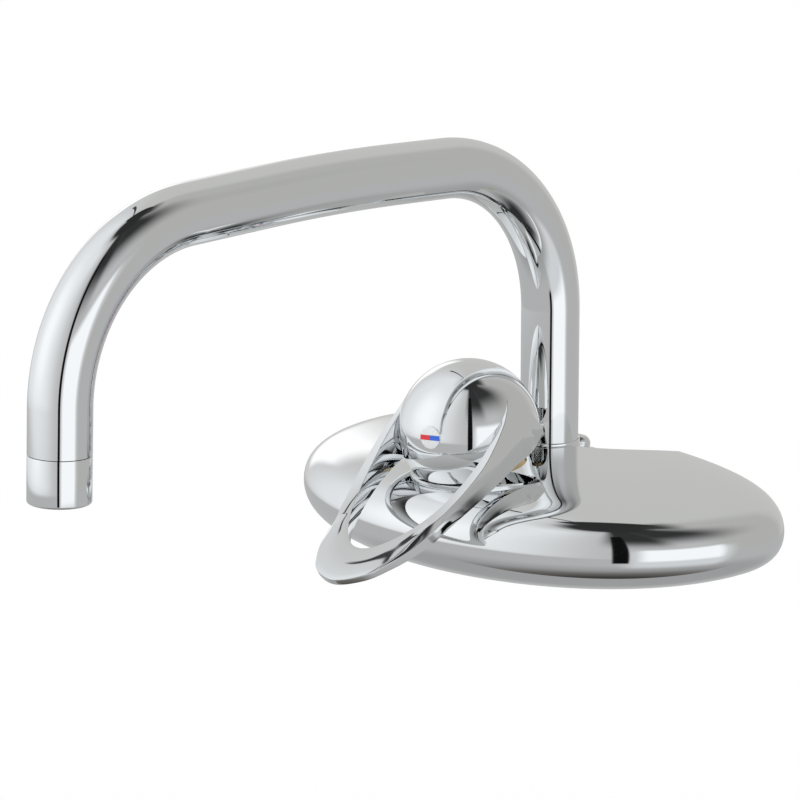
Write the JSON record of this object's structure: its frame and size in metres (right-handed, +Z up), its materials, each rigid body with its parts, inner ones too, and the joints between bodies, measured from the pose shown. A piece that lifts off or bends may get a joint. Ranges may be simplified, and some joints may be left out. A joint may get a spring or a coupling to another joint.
{
  "type": "wall-mounted kitchen mixer tap",
  "caption": "Chrome wall-mounted mixer tap: domed oval cover over two wall inlets, ball handle with an open loop lever, and a tall arched swivel spout with an aerator",
  "frame": {"origin": "on the wall plane, midway between the two wall inlets at their height", "axes": "X runs to the right along the wall as the user faces it, +Y points into the wall, so the tap stands out along -Y, and +Z is up"},
  "size_m": [0.2404, 0.3279, 0.1888],
  "materials": {
    "chrome": "polished mirror plating on brass or zinc",
    "brass": "as machined and cast, unplated where the cover hides it",
    "rubber": "smooth moulded sealing rubber",
    "steel": "turned or etched stainless",
    "white_plastic": "moulded engineering plastic",
    "ceramic": "lapped sealing faces",
    "plug_silver": "moulded, satin silver",
    "hot_mark": "moulded red",
    "cold_mark": "moulded blue"
  },
  "bodies": {
    "body": {"wall_cover": "chrome", "cover_screw": "chrome", "mixer_body": "brass", "left_eccentric_union": "brass", "right_eccentric_union": "brass", "left_inlet_washer": "rubber", "right_inlet_washer": "rubber", "left_inlet_strainer": "steel", "right_inlet_strainer": "steel", "left_union_nut": "brass", "right_union_nut": "brass", "cartridge_nut": "brass", "cartridge_housing": "white_plastic", "cartridge_base": "white_plastic", "base_port_seals": "rubber", "disc_port_seals": "rubber", "fixed_disc": "ceramic", "spout_glide_ring": "white_plastic", "spout_collar": "chrome", "spout_lock_screw": "steel"},
    "spout": {"spout_tube": "chrome", "spout_ferrule": "brass", "spout_o_rings": "rubber", "aerator_housing": "chrome", "aerator_insert": "white_plastic", "aerator_screen": "steel", "aerator_washer": "rubber"},
    "turning_cartridge": {"cartridge_rotor": "white_plastic", "spindle_pin": "steel"},
    "lever": {"handle": "chrome", "lever_spindle": "steel", "handle_grub_screw": "steel", "indicator_plug": "plug_silver", "red_mark": "hot_mark", "blue_mark": "cold_mark"},
    "disc_carriage": {"disc_carrier": "white_plastic", "moving_disc": "ceramic"}
  },
  "joints": [
    {"name": "spout_swivel", "type": "hinge", "parent": "body", "child": "spout", "pos_m": [0, -0.032, 0], "axis": [0, 0, 1], "range_deg": [-90, 90]},
    {"name": "handle_turn", "type": "hinge", "parent": "body", "child": "turning_cartridge", "pos_m": [0, -0.0818, 0.0374], "axis": [0, -0.2419, 0.9703], "range_deg": [-62, 38]},
    {"name": "handle_lift", "type": "hinge", "parent": "turning_cartridge", "child": "lever", "pos_m": [0, -0.0818, 0.0374], "axis": [-0.9781, -0.2017, -0.0503], "range_deg": [0, 16]},
    {"name": "disc_slide", "type": "slide", "parent": "turning_cartridge", "child": "disc_carriage", "axis": [0.2079, -0.9491, -0.2366], "range_m": [0, 0.0045]}
  ],
  "couplings": [
    {"joint": "disc_slide", "follows": "handle_lift", "m_per_rad": 0.015946}
  ]
}
